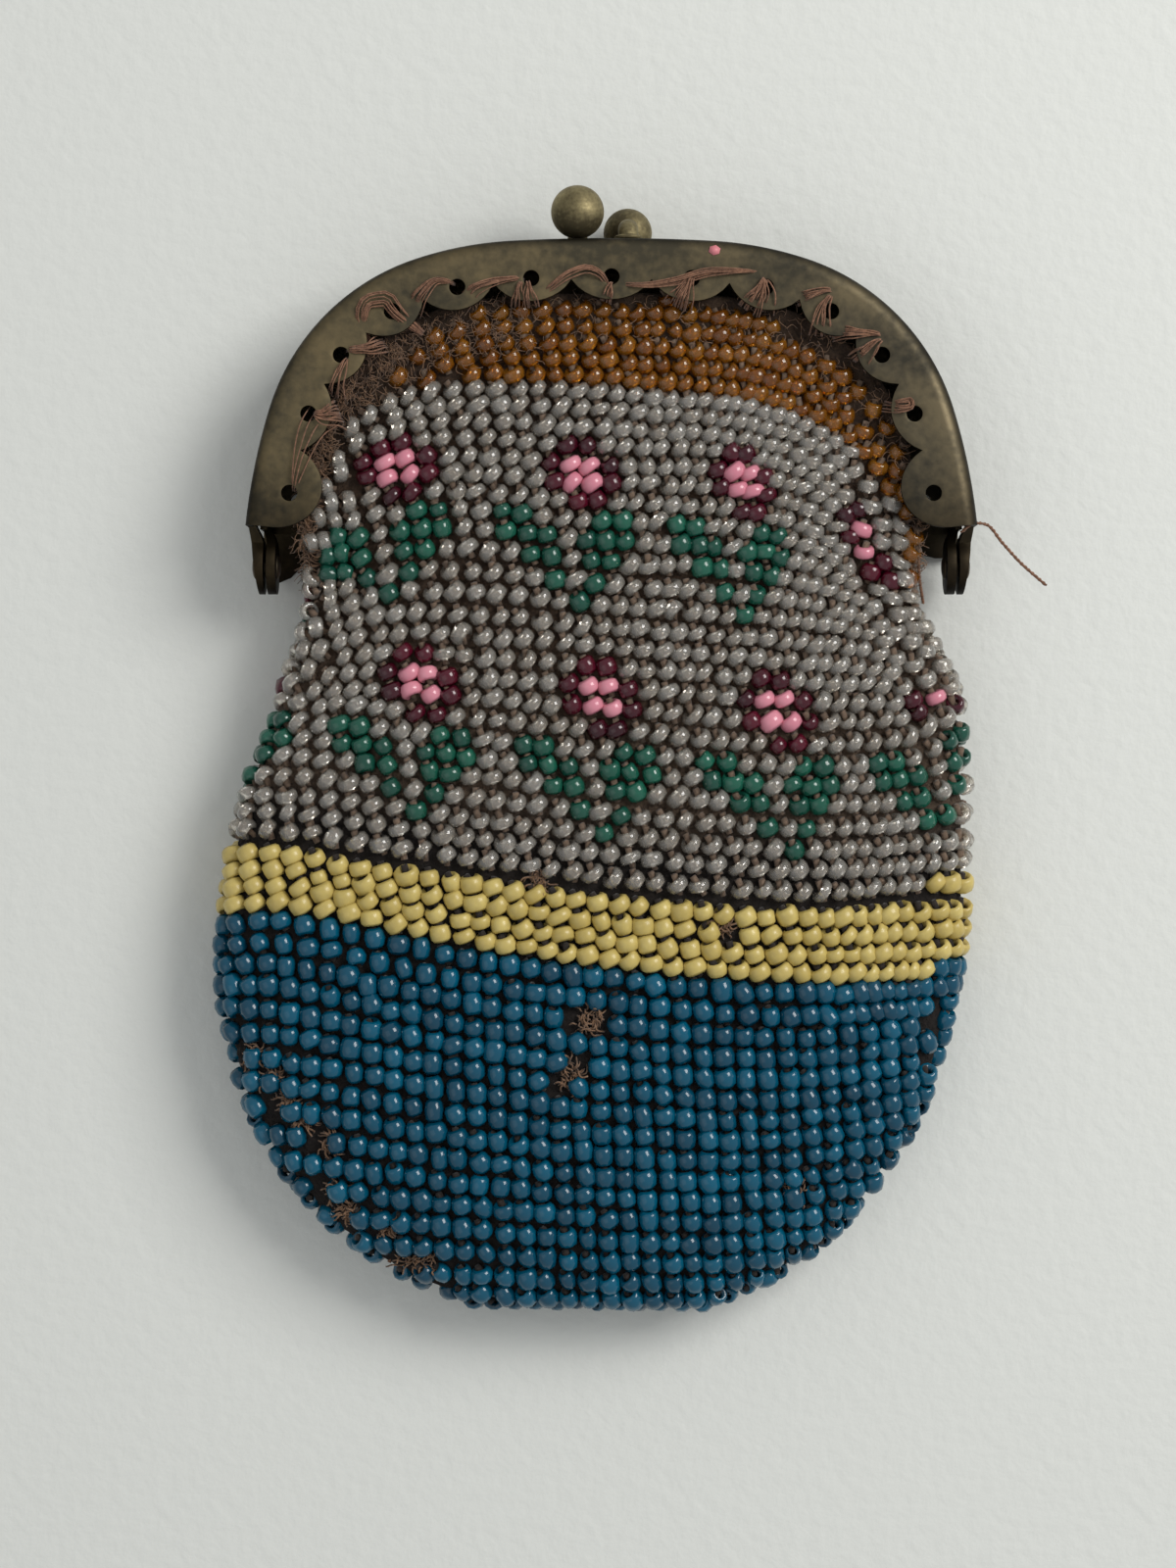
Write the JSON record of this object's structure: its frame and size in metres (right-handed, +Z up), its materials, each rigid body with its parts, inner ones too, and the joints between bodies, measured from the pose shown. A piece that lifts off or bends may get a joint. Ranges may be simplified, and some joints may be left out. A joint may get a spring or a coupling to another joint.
{
  "type": "beaded frame purse",
  "caption": "Small coin purse: a bead-crochet bag sewn to a hinged, scalloped brass frame with a kiss-lock of two balls.",
  "frame": {"origin": "centre of the footprint, on the surface that the purse lies on", "axes": "+X to the right as seen from the front, +Y from the bag's bottom towards the clasp, +Z up, out of the front half; the purse lies closed on its back"},
  "size_m": [0.0752, 0.1013, 0.011],
  "materials": {
    "frame_brass": "tarnished, worn, satin",
    "ball_brass": "tarnished, satin",
    "rivet_metal": "dark, dull",
    "bead_glass": "glossy seed beads on brown crochet",
    "copper_brown_thread": "matt twisted thread"
  },
  "bodies": {
    "back_half": {"frame_back_half": "frame_brass", "clasp_ball_back": "ball_brass", "hinge_rivet_left": "rivet_metal", "hinge_rivet_right": "rivet_metal", "beaded_bag": "bead_glass", "sewing_thread_back": "copper_brown_thread"},
    "front_half": {"frame_front_half": "frame_brass", "clasp_ball_front": "ball_brass", "sewing_thread_front": "copper_brown_thread"}
  },
  "joints": [
    {"name": "frame_hinge", "type": "hinge", "parent": "back_half", "child": "front_half", "pos_m": [-0.00168, 0.01661, 0.0055], "axis": [1, 0, 0], "range_deg": [0, 80], "deforming": ["beaded_bag"]}
  ]
}
